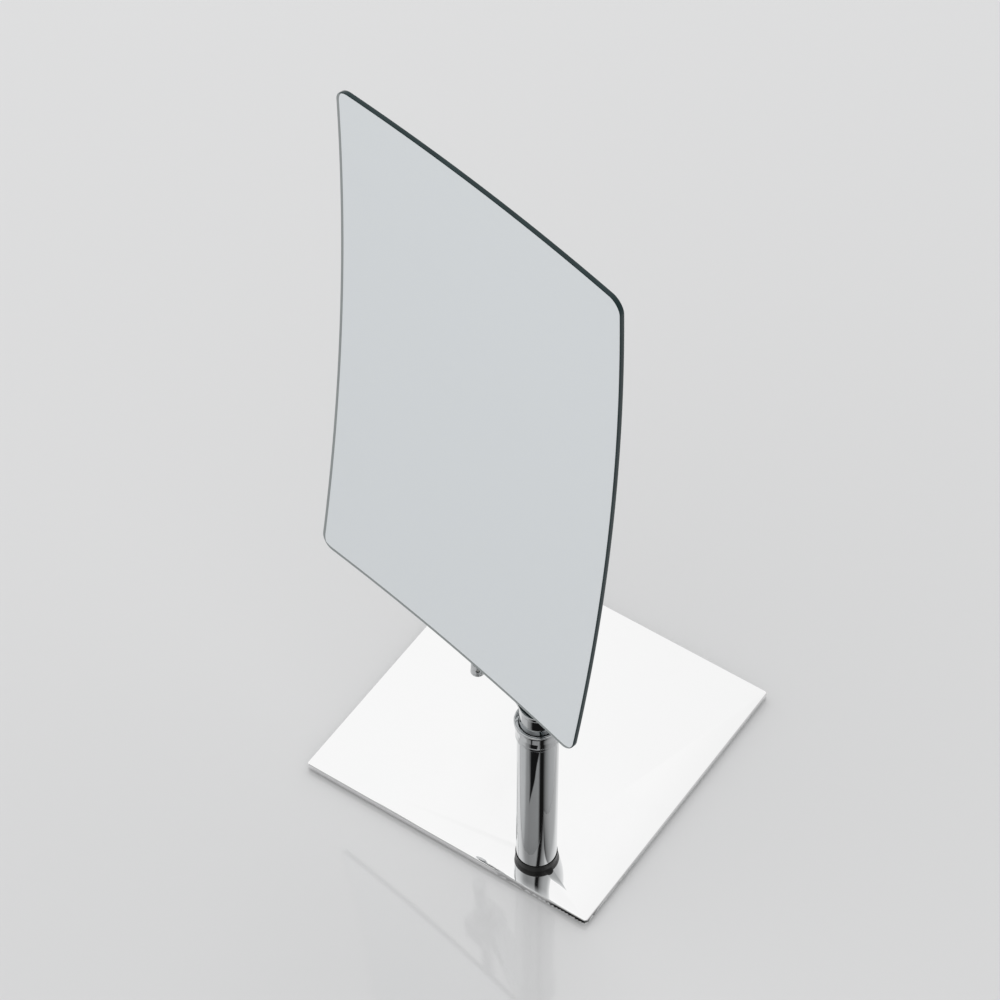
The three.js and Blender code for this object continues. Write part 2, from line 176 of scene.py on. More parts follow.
def polishedSteel():
    material, board = newFinish("polishedSteel")
    smudge = board.noise(9.0, 4.0, 0.6).ramp(0.5, 0.74)
    hairline = board.noise(900.0, 2.0, 0.6, (1, 0.02, 1)).ramp(0.66, 0.78)
    ripple = board.noise(26.0, 2.0)
    tone = board.mix(smudge * 0.5, grey(0.935), grey(0.905))
    board.finish({
        "Base Color": tone,
        "Metallic": 1.0,
        "Roughness": 0.018 + smudge * 0.025 + hairline * 0.03,
        "Normal": board.bump(ripple, 0.03, 0.0004),
    })
    return material


def brightChrome():
    material, board = newFinish("brightChrome")
    swirl = board.noise(60.0, 4.0, 0.65, (1, 1, 0.25)).ramp(0.52, 0.72)
    hairline = board.noise(1400.0, 2.0, 0.5, (1, 1, 0.03)).ramp(0.68, 0.8)
    pits = 1 - board.cells(1800.0).ramp(0.02, 0.09)
    ripple = board.noise(180.0, 2.0, 0.5)
    tone = board.mix(swirl * 0.4, grey(0.64, 0.02), grey(0.6, 0.03))
    board.finish({
        "Base Color": tone,
        "Metallic": 1.0,
        "Roughness": 0.03 + swirl * 0.03 + hairline * 0.05 + pits * 0.1,
        "Normal": board.bump(ripple, 0.05, 0.0001),
    })
    return material


def zincSteel():
    material, board = newFinish("zincSteel")
    cloud = board.noise(300.0, 4.0, 0.6)
    grain = board.noise(3000.0, 2.0, 0.6)
    tone = board.mix(cloud, (0.47, 0.48, 0.47, 1), (0.66, 0.66, 0.63, 1))
    board.finish({
        "Base Color": tone,
        "Metallic": 1.0,
        "Roughness": 0.28 + cloud * 0.18,
        "Normal": board.bump(grain, 0.15, 0.00005),
    })
    return material


def blackPlastic():
    material, board = newFinish("blackPlastic")
    grain = board.noise(2600.0, 3.0, 0.6)
    wear = board.noise(120.0, 3.0, 0.6).ramp(0.55, 0.8)
    board.finish({
        "Base Color": board.mix(wear, grey(0.006), grey(0.02)),
        "Roughness": 0.32 + wear * 0.2 + grain * 0.06,
        "Specular IOR Level": 0.2,
        "Normal": board.bump(grain, 0.1, 0.00004),
    })
    return material


def blackRubber():
    material, board = newFinish("blackRubber")
    grain = board.noise(1500.0, 4.0, 0.7)
    dust = board.noise(220.0, 4.0, 0.7).ramp(0.56, 0.8)
    board.finish({
        "Base Color": board.mix(dust, grey(0.018), grey(0.07)),
        "Roughness": 0.62 + dust * 0.2,
        "Normal": board.bump(grain, 0.3, 0.00008),
    })
    return material


def turnedAlloy():
    material, board = newFinish("turnedAlloy")
    cloud = board.noise(90.0, 4.0, 0.6)
    grain = board.noise(2400.0, 2.0, 0.6)
    scratch = board.noise(1200.0, 2.0, 0.5, (1, 1, 0.03)).ramp(0.64, 0.78)
    board.finish({
        "Base Color": board.mix(cloud, grey(0.58, 0.015), grey(0.7, 0.01)),
        "Metallic": 1.0,
        "Roughness": 0.3 + cloud * 0.1 + scratch * 0.12,
        "Normal": board.bump(grain + scratch, 0.12, 0.00004),
    })
    return material


def foamTape():
    material, board = newFinish("foamTape")
    pores = board.cells(2600.0).ramp(0.1, 0.5)
    board.finish({
        "Base Color": board.mix(pores, grey(0.03), grey(0.1)),
        "Roughness": 0.95,
        "Normal": board.bump(pores, 0.5, 0.0001),
    })
    return material


def silveredGlass():
    material, board = newFinish("silveredGlass")
    smear = board.noise(14.0, 4.0, 0.62).ramp(0.56, 0.78)
    dust = 1 - board.cells(700.0).ramp(0.02, 0.05)
    tone = board.mix(smear * 0.35, (0.918, 0.956, 0.978, 1), (0.9, 0.938, 0.958, 1))
    board.finish({
        "Base Color": tone,
        "Metallic": 1.0,
        "Roughness": 0.004 + smear * 0.02 + dust * 0.08,
    })
    return material


# A painted grey band: it stands in for the light of the glass edge along the left and lower border, with a
# fine grain.
def paintedEdgeBand():
    material, board = newFinish("paintedEdgeBand")
    grain = board.noise(2200.0, 3.0, 0.6)
    board.finish({
        "Base Color": board.mix(grain, (0.2, 0.225, 0.225, 1), (0.27, 0.3, 0.3, 1)),
        "Roughness": 0.3,
        "Coat Weight": 1.0,
        "Coat Roughness": 0.01,
    })
    return material


def glassEdge():
    material, board = newFinish("glassEdge")
    band = board.noise(60.0, 3.0, 0.5)
    board.finish({
        "Base Color": board.mix(band, (0.006, 0.016, 0.018, 1), (0.02, 0.042, 0.045, 1)),
        "Roughness": 0.12 + band * 0.08,
        "Specular IOR Level": 0.25,
    })
    return material


# Painted bevel light: the grey shown by the left and lower bevels in place of the dark glass edge, with a
# fine grain and bump.
def paintedBevelBand():
    material, board = newFinish("paintedBevelBand")
    grain = board.noise(2600.0, 3.0, 0.6)
    board.finish({
        "Base Color": board.mix(grain, (0.2, 0.235, 0.24, 1), (0.36, 0.4, 0.4, 1)),
        "Roughness": 0.4 + grain * 0.1,
        "Normal": board.bump(grain, 0.2, 0.00003),
    })
    return material


def backPaint():
    material, board = newFinish("backPaint")
    peel = board.noise(700.0, 2.0, 0.5)
    cloud = board.noise(12.0, 4.0, 0.6)
    specks = 1 - board.cells(420.0).ramp(0.03, 0.07)
    tone = board.mix(cloud, (0.2, 0.215, 0.23, 1), (0.245, 0.26, 0.275, 1))
    board.finish({
        "Base Color": board.mix(specks * 0.5, tone, (0.4, 0.41, 0.42, 1)),
        "Roughness": 0.42 + cloud * 0.12,
        "Normal": board.bump(peel, 0.25, 0.0001),
    })
    return material


finishes = {
    "polished_base": polishedSteel(),
    "chrome": brightChrome(),
    "zinc_steel": zincSteel(),
    "black_plastic": blackPlastic(),
    "black_rubber": blackRubber(),
    "alloy": turnedAlloy(),
    "foam_tape": foamTape(),
}
print("finishes made")


# Places, from the frame

def middle(node):
    low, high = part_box(node)
    return (low + high) / 2


poleAxis = middle("lower_tube")
poleFoot = Matrix.Translation((poleAxis.x, poleAxis.y, 0))

sideways = -Vector(jointOf["head_tilt"]["axis"]).normalized()
upwards = Vector(jointOf["stem_height"]["axis"]).normalized()
backwards = upwards.cross(sideways)
tiltPoint = Vector(jointOf["head_tilt"]["pos_m"])

# The head's own axes: x along the glass, y backwards, z up the stem; its origin is the middle of
# the glass's lower edge.
headSizes = {"stemBack": 29, "tiltHeight": 6, "capScrew": -40.5}
headOrigin = tiltPoint - backwards * headSizes["stemBack"] * mm - upwards * headSizes["tiltHeight"] * mm
headTurn = Matrix((sideways, backwards, upwards)).transposed().to_4x4()
headPlace = Matrix.Translation(headOrigin) @ headTurn
stemPlace = headPlace @ Matrix.Translation((0, headSizes["stemBack"] * mm, 0))


# Mesh tools

# A new object in the scene for this mesh, light or camera.
def inScene(name, data):
    thing = bpy.data.objects.new(name, data)
    bpy.context.scene.collection.objects.link(thing)
    return thing


def toMesh(shape, name):
    mesh = bpy.data.meshes.new(name)
    shape.to_mesh(mesh)
    shape.free()
    return mesh


# Makes the mesh a piece that stands for the CAD nodes and rides with them.
def keep(mesh, name, nodes, finish=None, smoothAngle=32):
    piece = inScene(name, mesh)
    if finish:
        mesh.materials.clear()
        mesh.materials.append(finish)
    mesh.shade_smooth()
    mesh.set_sharp_from_angle(angle=math.radians(smoothAngle))
    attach(piece, bodyOf[nodes[0]])
    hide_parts(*nodes)
    return piece


# Rounds the corners of an outline: a point is (radius, height) or (radius, height, fillet). A short
# flat on each side of a fillet keeps the long walls' shading straight.
def rounded(profile, steps=4, flat=0.03):
    points = [Vector(point[:2]) for point in profile]
    fillets = [point[2] if len(point) > 2 else 0 for point in profile]
    closed = profile[0][:2] == profile[-1][:2]
    outline = []
    for i, point in enumerate(points):
        isEnd = i in (0, len(points) - 1)
        if fillets[i] == 0 or (isEnd and not closed):
            outline.append(point)
            continue
        before = points[i - 1] if i else points[-2]
        after = points[i + 1] if i < len(points) - 1 else points[1]
        toBefore = (before - point).normalized()
        toAfter = (after - point).normalized()
        half = toBefore.angle(toAfter) / 2
        reach = fillets[i] / math.tan(half)
        start = point + toBefore * reach
        end = point + toAfter * reach
        centre = point + (toBefore + toAfter).normalized() * fillets[i] / math.sin(half)
        outline.append(start + toBefore * flat)
        for k in range(steps + 1):
            spoke = (start - centre).lerp(end - centre, k / steps)
            outline.append(centre + spoke.normalized() * fillets[i])
        outline.append(end + toAfter * flat)
    return outline


# A mesh turned about the place's z axis. A closed profile repeats its first point.
def turned(profile, place, sides=128):
    outline = rounded(profile)
    closed = (outline[0] - outline[-1]).length < tiny
    if closed:
        outline = outline[:-1]
    shape = bmesh.new()
    rings = []
    for radius, height in outline:
        if radius < tiny:
            rings.append([shape.verts.new((0, 0, height * mm))])
            continue
        angles = [2 * math.pi * k / sides for k in range(sides)]
        rings.append([shape.verts.new((radius * mm * math.cos(a), radius * mm * math.sin(a), height * mm))
                      for a in angles])
    pairs = list(zip(rings, rings[1:]))
    if closed:
        pairs.append((rings[-1], rings[0]))
    for low, high in pairs:
        for k in range(sides):
            n = k + 1
            corners = [low[k % len(low)], low[n % len(low)], high[n % len(high)], high[k % len(high)]]
            unique = list(dict.fromkeys(corners))
            if len(unique) > 2:
                shape.faces.new(unique)
    bmesh.ops.recalc_face_normals(shape, faces=shape.faces)
    mesh = toMesh(shape, "turned")
    mesh.transform(place)
    return mesh


# A CAD node's shape with its loose triangles joined and its flat faces merged.
def joined(node, flatAngle):
    shape = bmesh.new()
    shape.from_mesh(frame["nodes"][node].data)
    bmesh.ops.remove_doubles(shape, verts=shape.verts, dist=2 * tiny)
    bmesh.ops.dissolve_limit(shape, angle_limit=math.radians(flatAngle), verts=shape.verts, edges=shape.edges)
    return shape


# A copy of a CAD node with its edges rounded by width.
def refined(node, width, steps=2, angle=35):
    shape = joined(node, 0.6)
    limit = math.radians(angle)
    edges = [edge for edge in shape.edges if len(edge.link_faces) == 2 and edge.calc_face_angle() > limit]
    bmesh.ops.bevel(shape, geom=edges, offset=width * mm, segments=steps, profile=0.5, affect="EDGES",
                    clamp_overlap=True)
    return toMesh(shape, node)


# The mesh with the drill's shape taken out of it.
def bored(mesh, drill):
    body = inScene("body", mesh)
    tool = inScene("tool", drill)
    cutter = body.modifiers.new("bored", "BOOLEAN")
    cutter.operation = "DIFFERENCE"
    cutter.solver = "EXACT"
    cutter.object = tool
    result = plain(body)
    for thing in (body, tool):
        bpy.data.objects.remove(thing)
    return result


# The piece's mesh with its modifiers worked in.
def plain(piece):
    bpy.context.view_layer.update()
    return bpy.data.meshes.new_from_object(piece.evaluated_get(bpy.context.evaluated_depsgraph_get()))


# The mesh that a Geometry Nodes tree makes of the blank, with these values on its inputs.
def grown(blank, tree, inputs, values):
    holder = inScene("blank", blank)
    modifier = holder.modifiers.new("nodes", "NODES")
    modifier.node_group = tree
    for name, value in values.items():
        modifier[inputs[name].identifier] = value
    mesh = plain(holder)
    bpy.data.objects.remove(holder)
    return mesh


# Lowest and highest z of an upright node, in millimetres.
def heightOf(node):
    low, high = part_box(node)
    return low.z / mm, high.z / mm


def radiusOf(node):
    low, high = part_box(node)
    return (high.x - low.x) / 2 / mm


# Camera and light

camera = {
    "azimuth": 34.24,
    "elevation": 50.58,
    "distance": 2.2952,
    "right": -0.02337,
    "up": 0.14013,
    "lens": 137.1,
    "sensor": 36,
    "farthest": 50,
}


def makeCamera():
    azimuth = math.radians(camera["azimuth"])
    elevation = math.radians(camera["elevation"])
    away = Vector((math.sin(azimuth) * math.cos(elevation), -math.cos(azimuth) * math.cos(elevation),
                   math.sin(elevation)))    # from the object towards the camera
    right = Vector((math.cos(azimuth), math.sin(azimuth), 0))
    up = away.cross(right)
    eye = inScene("camera", bpy.data.cameras.new("camera"))
    eye.data.lens = camera["lens"]
    eye.data.sensor_width = camera["sensor"]
    eye.data.clip_end = camera["farthest"]
    spot = away * camera["distance"] + right * camera["right"] + up * camera["up"]
    eye.matrix_world = Matrix.Translation(spot) @ Matrix((right, up, away)).transposed().to_4x4()
    bpy.context.scene.camera = eye


makeCamera()

studio = {
    "ambient": 0.885,
    "glossWhite": 1.0,
    "keyPower": 9.0,
    "keySize": 1.8,
    "keyPlace": (-1.1, 1.3, 1.9),
    "floorTone": (0.692, 0.694, 0.698, 1),
    "floorRoughness": 0.05,
    "floorIOR": 1.75,
    "floorHalf": 6,
    "ceilingFrom": 0.86,    # how steeply up a reflection has to go to see the white ceiling
    "ceilingFull": 0.97,
}

# How bright the room is round the pole, by the angle from the camera's side (right is positive):
# a dark front with white walls behind.
roomTones = [(-180, 1.0), (-134, 1.0), (-95, 0.85), (-62, 0.42), (-40, 0.34), (4, 0.4),
             (13, 0.012), (28, 0.012), (41, 0.27), (55, 0.43), (68, 0.53), (90, 0.59),
             (104, 0.66), (125, 0.85), (150, 0.95), (180, 1.0)]
roomFront = math.radians(camera["azimuth"])


# The table's second column at this value of the first.
def between(value, table):
    for (low, first), (high, second) in zip(table, table[1:]):
        if value <= high:
            part = max(0, (value - low) / (high - low))
            return first + (second - first) * part
    return table[-1][1]


# Even light for dull surfaces; bright ones see the room's dark front and a white ceiling.
def makeWorld():
    world = bpy.data.worlds.new("studio")
    world.use_nodes = True
    bpy.context.scene.world = world
    board = Board(world.node_tree)
    ray = board.add("ShaderNodeTexCoord", output="Generated")
    front = (math.sin(roomFront), -math.cos(roomFront), 0)
    right = (math.cos(roomFront), math.sin(roomFront), 0)
    ahead = board.add("ShaderNodeVectorMath", {"operation": "DOT_PRODUCT"}, [ray, front], "Value")
    aside = board.add("ShaderNodeVectorMath", {"operation": "DOT_PRODUCT"}, [ray, right], "Value")
    height = board.add("ShaderNodeSeparateXYZ", None, [ray], "Z")
    turn = aside.math("ARCTAN2", ahead) / (2 * math.pi) + 0.5
    stops = [((angle + 180) / 360, (tone, tone, tone, 1)) for angle, tone in roomTones]
    wall = board.add("ShaderNodeValToRGB", {"stops": stops}, [turn])
    ceiling = height.ramp(studio["ceilingFrom"], studio["ceilingFull"])
    gloss = wall * (1 - ceiling) + ceiling
    isGlossy = board.add("ShaderNodeLightPath", output="Is Glossy Ray")
    level = isGlossy * gloss * studio["glossWhite"] + (1 - isGlossy) * studio["ambient"]
    sky = board.add("ShaderNodeBackground", None, {"Color": (1, 1, 1, 1), "Strength": level})
    board.add("ShaderNodeOutputWorld", None, {"Surface": sky})


def makeLights():
    key = bpy.data.lights.new("softbox", "AREA")
    key.energy = studio["keyPower"]
    key.shape = "DISK"
    key.size = studio["keySize"]
    lamp = inScene("softbox", key)
    lamp.location = studio["keyPlace"]
    lamp.rotation_euler = (-Vector(studio["keyPlace"])).to_track_quat("-Z", "Y").to_euler()
    lamp.visible_glossy = False


def makeFloor():
    material, board = newFinish("tableTop")
    board.finish({
        "Base Color": studio["floorTone"],
        "Roughness": studio["floorRoughness"],
        "IOR": studio["floorIOR"],
    })
    shape = bmesh.new()
    bmesh.ops.create_grid(shape, x_segments=1, y_segments=1, size=studio["floorHalf"])
    mesh = toMesh(shape, "tableTop")
    mesh.materials.append(material)
    floor = inScene("tableTop", mesh)


# A thin black sheet on the table by the pole, which only reflections see: a painted reflection. It paints the
# bright tube's dark stripe and wedge, and its painted shade follows the room's dark front. Angles are from
# the room's front, and the tables are by distance from the pole.
paintedReflection = {
    "near": 14,
    "far": 146,
    "rowStep": 2,
    "from": -72,
    "to": 104,
    "endSoft": 14,
    "height": 0.7,
    "darkest": 0.985,
    "floorLevel": 0.68,
    "wedgeLeft": [(60, -40), (75, -34), (146, -33)],
    "wedgeRight": [(50, -80), (60, -42), (69, -29), (79, -14), (91, -4), (96, 3), (104, 14), (112, 40),
                   (146, 44)],
    "leftSoft": [(60, 5), (72, 14), (95, 28)],
    "rightSoft": 5,
}


# How dark the painted reflection is at this angle and distance: the room's dark front, then the painted
# stripe and wedge.
def paintedReflectionShade(angle, distance):
    tone = between(angle, roomTones)
    shade = max(0, 1 - tone / paintedReflection["floorLevel"])
    left = between(distance, paintedReflection["wedgeLeft"])
    fromLeft = (angle - left) / between(distance, paintedReflection["leftSoft"]) + 1
    fromRight = (between(distance, paintedReflection["wedgeRight"]) - angle) / paintedReflection["rightSoft"] + 0.5
    shade = max(shade, min(paintedReflection["darkest"], max(0, min(fromLeft, fromRight))))
    ends = min(angle - paintedReflection["from"], paintedReflection["to"] - angle) / paintedReflection["endSoft"]
    return shade * min(1, max(0, ends))


# The sheet of painted reflection: black where its painted shade is full, clear elsewhere.
def makePaintedReflection():
    material, board = newFinish("paintedReflectionSheet")
    shade = board.add("ShaderNodeAttribute", {"attribute_name": "shade"}, output="Fac")
    under = board.add("ShaderNodeNewGeometry", output="Backfacing")
    black = board.add("ShaderNodeBsdfDiffuse", None, {"Color": (0.002, 0.002, 0.002, 1)})
    clear = board.add("ShaderNodeBsdfTransparent")
    mixed = board.add("ShaderNodeMixShader", None, [shade * (1 - under), clear, black])
    board.add("ShaderNodeOutputMaterial", None, {"Surface": mixed})
    halfSide = radiusOf("base_plate")
    columns = range(paintedReflection["from"], paintedReflection["to"] + 1)
    rows = range(paintedReflection["near"], paintedReflection["far"] + 1, paintedReflection["rowStep"])
    points, paintedShades, faces = [], [], []
    for distance in rows:
        for angle in columns:
            turn = roomFront + math.radians(angle)
            outwards = Vector((math.sin(turn), -math.cos(turn))) * distance * mm
            points.append((poleAxis.x + outwards.x, poleAxis.y + outwards.y, paintedReflection["height"] * mm))
            paintedShades.append(paintedReflectionShade(angle, distance))
    width = len(columns)
    for j in range(len(rows) - 1):
        for i in range(width - 1):
            corners = (j * width + i, (j + 1) * width + i, (j + 1) * width + i + 1, j * width + i + 1)
            if all(max(abs(points[c][0]), abs(points[c][1])) > halfSide * mm for c in corners):
                faces.append(corners)
    mesh = bpy.data.meshes.new("paintedReflectionSheet")
    mesh.from_pydata(points, [], faces)
    mesh.attributes.new("shade", "FLOAT", "POINT").data.foreach_set("value", paintedShades)
    mesh.materials.append(material)
    if mesh.polygons[0].normal.z < 0:
        mesh.flip_normals()
    sheet = inScene("paintedReflectionSheet", mesh)
    sheet.visible_camera = False
    sheet.visible_diffuse = False
    sheet.visible_shadow = False
    sheet.visible_transmission = False


makeWorld()
makeLights()
makeFloor()
makePaintedReflection()
bpy.context.scene.view_settings.view_transform = "Standard"
print("camera, light and floor made")


# Base

keep(refined("base_plate", 0.12), "basePlate", ["base_plate"], finishes["polished_base"])


# Pole

def poleRing(node, profile, finish=None, sides=128):
    return keep(turned(profile, poleFoot, sides), node + "_turned", [node], finish or finishes[slotOf[node]])


gasket = {"bore": 8.4, "lip": 2.8, "edge": 0.3, "gap": 0.15}
low, high = heightOf("foot_gasket")
rim = radiusOf("foot_gasket")
tubeRadius = radiusOf("lower_tube")
cup = tubeRadius + gasket["gap"]
poleRing("foot_gasket", [
    (gasket["bore"], low), (rim, low), (rim, high, gasket["edge"]), (cup, high, 0.05),
    (cup, low + gasket["lip"]), (gasket["bore"], low + gasket["lip"]), (gasket["bore"], low),
])

tube = {"lowerWall": 0.8, "upperWall": 1.0, "lip": 0.2}
for node, wall in (("lower_tube", tube["lowerWall"]), ("upper_tube", tube["upperWall"])):
    low, high = heightOf(node)
    outer = radiusOf(node)
    lip = tube["lip"]
    poleRing(node, [
        (outer - wall, low, lip), (outer, low, lip), (outer, high, lip), (outer - wall, high, lip),
        (outer - wall, low, lip),
    ], sides=192)

collar = {"foot": 13.0, "groove": 12.7, "waist": 13.05, "swell": 13.2, "rim": 13.8, "crown": 12.9,
          "lip": 11.1, "lipUnder": 136.8, "gap": 0.06}
low, high = heightOf("pole_collar")
bore = tubeRadius + collar["gap"]
poleRing("pole_collar", [
    (bore, low), (collar["foot"], low, 0.35), (collar["foot"], low + 2.1, 0.15),
    (collar["groove"], low + 2.3, 0.08), (collar["groove"], low + 2.7, 0.08),
    (collar["waist"], low + 2.9, 0.15), (collar["swell"], low + 7, 3),
    (collar["rim"], high - 1.6, 1.2), (collar["rim"], high - 0.02, 0.6), (collar["crown"], high - 0.02, 0.5),
    (collar["lip"] + 0.5, high - 0.8, 0.4), (collar["lip"], high - 1.2, 0.2),
    (collar["lip"], collar["lipUnder"]), (bore, collar["lipUnder"]), (bore, low),
], sides=192)

low, high = heightOf("collar_bush")
bore = radiusOf("upper_tube") + 0.12
poleRing("collar_bush", [
    (bore, low, 0.1), (tubeRadius, low, 0.1), (tubeRadius, high, 0.2), (bore, high, 0.3), (bore, low, 0.1),
])
print("pole made")


# Swing arm, clamp, brackets and small parts, by the width of their rounded edges

edgeWidths = {"swing_arm": 0.35, "stem_clamp": 0.4, "lower_bracket": 0.35, "upper_bracket": 0.35}
smallEdge = 0.08
smallParts = ["arm_screw", "foot_screw", "swivel_screw", "tilt_screw", "pinch_screw", "end_cap_screw",
              "lower_bracket_screw", "upper_bracket_screw", "lower_foam_pad", "upper_foam_pad",
              "inner_friction_washer", "outer_friction_washer", "bush_clip", "pole_glide"]
for node, width in edgeWidths.items():
    keep(refined(node, width, 3), node + "_refined", [node], finishes[slotOf[node]])
for node in smallParts:
    keep(refined(node, smallEdge, 2), node + "_refined", [node], finishes[slotOf[node]])
for node in ("foot_plug", "lower_plug", "top_plug"):    # inside the tubes, so they keep the CAD shape
    frame["nodes"][node].data.materials.clear()
    frame["nodes"][node].data.materials.append(finishes[slotOf[node]])
print("arm and clamp made")


# Stem

stem = {"radius": 4.0, "cap": 4.25, "bottom": -46.0, "capHeight": 9.0, "top": 252.0, "spigot": 2.2,
        "spigotDepth": 5, "crossHole": 1.25, "drillLength": 8}
capTop = stem["bottom"] + stem["capHeight"]
spigotEnd = capTop - stem["spigotDepth"]
keep(turned([
    (0, spigotEnd), (stem["spigot"], spigotEnd, 0.2), (stem["spigot"], capTop + 0.05),
    (stem["radius"], capTop + 0.05, 0.1), (stem["radius"], stem["top"], 0.5), (0, stem["top"]),
], stemPlace, 96), "stem_turned", ["stem"], finishes["chrome"])


# The cap with its cross hole for the grub screw.
def endCap():
    cap = turned([
        (0, stem["bottom"]), (stem["cap"], stem["bottom"], 0.9), (stem["cap"], stem["bottom"] + 1.95, 0.08),
        (stem["cap"] - 0.22, stem["bottom"] + 2.1, 0.04), (stem["cap"], stem["bottom"] + 2.25, 0.08),
        (stem["cap"], capTop, 0.25), (stem["spigot"] + 0.05, capTop),
        (stem["spigot"] + 0.05, spigotEnd - 0.1), (0, spigotEnd - 0.1),
    ], stemPlace, 96)
    seat = middle("end_cap_screw")
    axis = seat - stemPlace @ Vector((0, 0, headSizes["capScrew"] * mm))
    aim = axis.to_track_quat("Z", "Y").to_matrix().to_4x4()
    start = Matrix.Translation(seat - axis.normalized() * mm) @ aim
    hole, length = stem["crossHole"], stem["drillLength"]
    drill = turned([(0, 0), (hole, 0), (hole, length), (0, length)], start, 40)
    return bored(cap, drill)


keep(endCap(), "stem_end_cap_turned", ["stem_end_cap"], finishes["chrome"])

bush = {"bore": 4.06, "sleeve": 5.6, "flange": 7.4, "low": -7.6, "seat": 17.3, "high": 18.8}
keep(turned([
    (bush["bore"], bush["low"], 0.1), (bush["sleeve"], bush["low"], 0.3), (bush["sleeve"], bush["seat"]),
    (bush["flange"], bush["seat"], 0.2), (bush["flange"], bush["high"], 0.4),
    (bush["bore"], bush["high"], 0.3), (bush["bore"], bush["low"], 0.1),
], stemPlace, 96), "stem_bush_turned", ["stem_bush"], finishes["black_plastic"])
print("stem made")


# Rubber mat

mat = {
    "inset": 2.5,       # flat border round the ribs
    "ribPitch": 4.0,
    "ribWidth": 2.4,
    "ribHeight": 0.4,
    "narrowest": 0.97,  # the ribs' widths vary down to this part of the full width
    "seed": 3,
}


# The mat above its ribs, from the CAD node's own outline.
def matSheet():
    shape = joined("base_mat", 1)
    lift = mat["ribHeight"] * mm
    for vert in shape.verts:
        vert.co.z = max(vert.co.z, lift)
    return toMesh(shape, "matSheet")


# Geometry Nodes: ribs set side by side on a line, under the sheet.
def ribTree():
    tree = bpy.data.node_groups.new("ribs", "GeometryNodeTree")
    face = tree.interface
    inputs = {}
    for name, kind in (("Sheet", "Geometry"), ("Length", "Float"), ("Width", "Float"), ("Height", "Float"),
                       ("Count", "Int"), ("Span", "Float"), ("Narrowest", "Float"), ("Seed", "Int"),
                       ("Finish", "Material")):
        inputs[name] = face.new_socket(name, in_out="INPUT", socket_type="NodeSocket" + kind)
    face.new_socket("Geometry", in_out="OUTPUT", socket_type="NodeSocketGeometry")
    board = Board(tree)
    entry = tree.nodes.new("NodeGroupInput")
    given = {name: Wire(board, entry.outputs[name]) for name in inputs}
    size = board.add("ShaderNodeCombineXYZ", None, [given["Width"], given["Length"], given["Height"]])
    bar = board.add("GeometryNodeMeshCube", None, {"Size": size})
    start = board.add("ShaderNodeCombineXYZ", None, {"X": given["Span"] * -0.5, "Z": given["Height"] * 0.5})
    step = board.add("ShaderNodeCombineXYZ", None, {"X": given["Span"] / (given["Count"] - 1)})
    steps = {"Count": given["Count"], "Start Location": start, "Offset": step}
    line = board.add("GeometryNodeMeshLine", None, steps)
    widths = {2: given["Narrowest"], 3: 1.0, "Seed": given["Seed"]}     # 2 and 3 are its float limits
    wobble = board.add("FunctionNodeRandomValue", {"data_type": "FLOAT"}, widths, 1)
    scale = board.add("ShaderNodeCombineXYZ", None, {"X": wobble, "Y": 1.0, "Z": 1.0})
    rows = board.add("GeometryNodeInstanceOnPoints", None, {"Points": line, "Instance": bar, "Scale": scale})
    both = tree.nodes.new("GeometryNodeJoinGeometry")
    tree.links.new(rows.socket, both.inputs[0])
    tree.links.new(entry.outputs["Sheet"], both.inputs[0])
    real = board.add("GeometryNodeRealizeInstances", None, [Wire(board, both.outputs[0])])
    dressed = board.add("GeometryNodeSetMaterial", None, {"Geometry": real, "Material": given["Finish"]})
    board.add("NodeGroupOutput", None, {"Geometry": dressed})
    return tree, inputs


def ribbedMat():
    low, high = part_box("base_mat")
    side = (high.x - low.x) - 2 * mat["inset"] * mm
    width = mat["ribWidth"] * mm
    values = {"Length": side, "Width": width, "Height": mat["ribHeight"] * mm, "Span": side - width,
              "Count": int(side / (mat["ribPitch"] * mm)), "Narrowest": mat["narrowest"], "Seed": mat["seed"],
              "Finish": finishes["black_rubber"]}
    keep(grown(matSheet(), *ribTree(), values), "base_mat_ribbed", ["base_mat"])


ribbedMat()
print("mat made")


# Glass

glass = {
    "width": 206.2,
    "height": 347.6,
    "thickness": 3.0,
    "corner": 8.5,
    "shift": -0.46,
    "low": -0.9,
    "sideBow": 1.2,
    "endBow": 0.4,
    "bevel": 0.6,
    "bevelSteps": 4,
    "paintedBandWidth": 1.7,      # width of the painted grey band along the left and lower edges only
    "dishRadius": 1600.0,
    "across": 56,
    "up": 96,
    "cornerSteps": 8,
}

# The panel's regions and their finishes, in the order of its face numbers.
glassRegions = {
    "Silver": silveredGlass,
    "Margin": paintedEdgeBand,
    "Bevel": paintedBevelBand,
    "Edge": glassEdge,
    "Back": backPaint,
}
regionNumber = {name: number for number, name in enumerate(glassRegions)}


# Grid lines across one side: one at the painted band's inner edge, fine in the round corners and even between
# them.
def gridLines(length, middleSteps):
    half = length / 2
    radius = glass["corner"]
    steps = glass["cornerSteps"]
    edge = [-half, -half + glass["paintedBandWidth"]]
    edge += [-half + glass["paintedBandWidth"] + (radius - glass["paintedBandWidth"]) * k / steps for k in range(1, steps)]
    core = [-half + radius + (length - 2 * radius) * k / middleSteps for k in range(middleSteps + 1)]
    return edge + core + [-value for value in reversed(edge)]


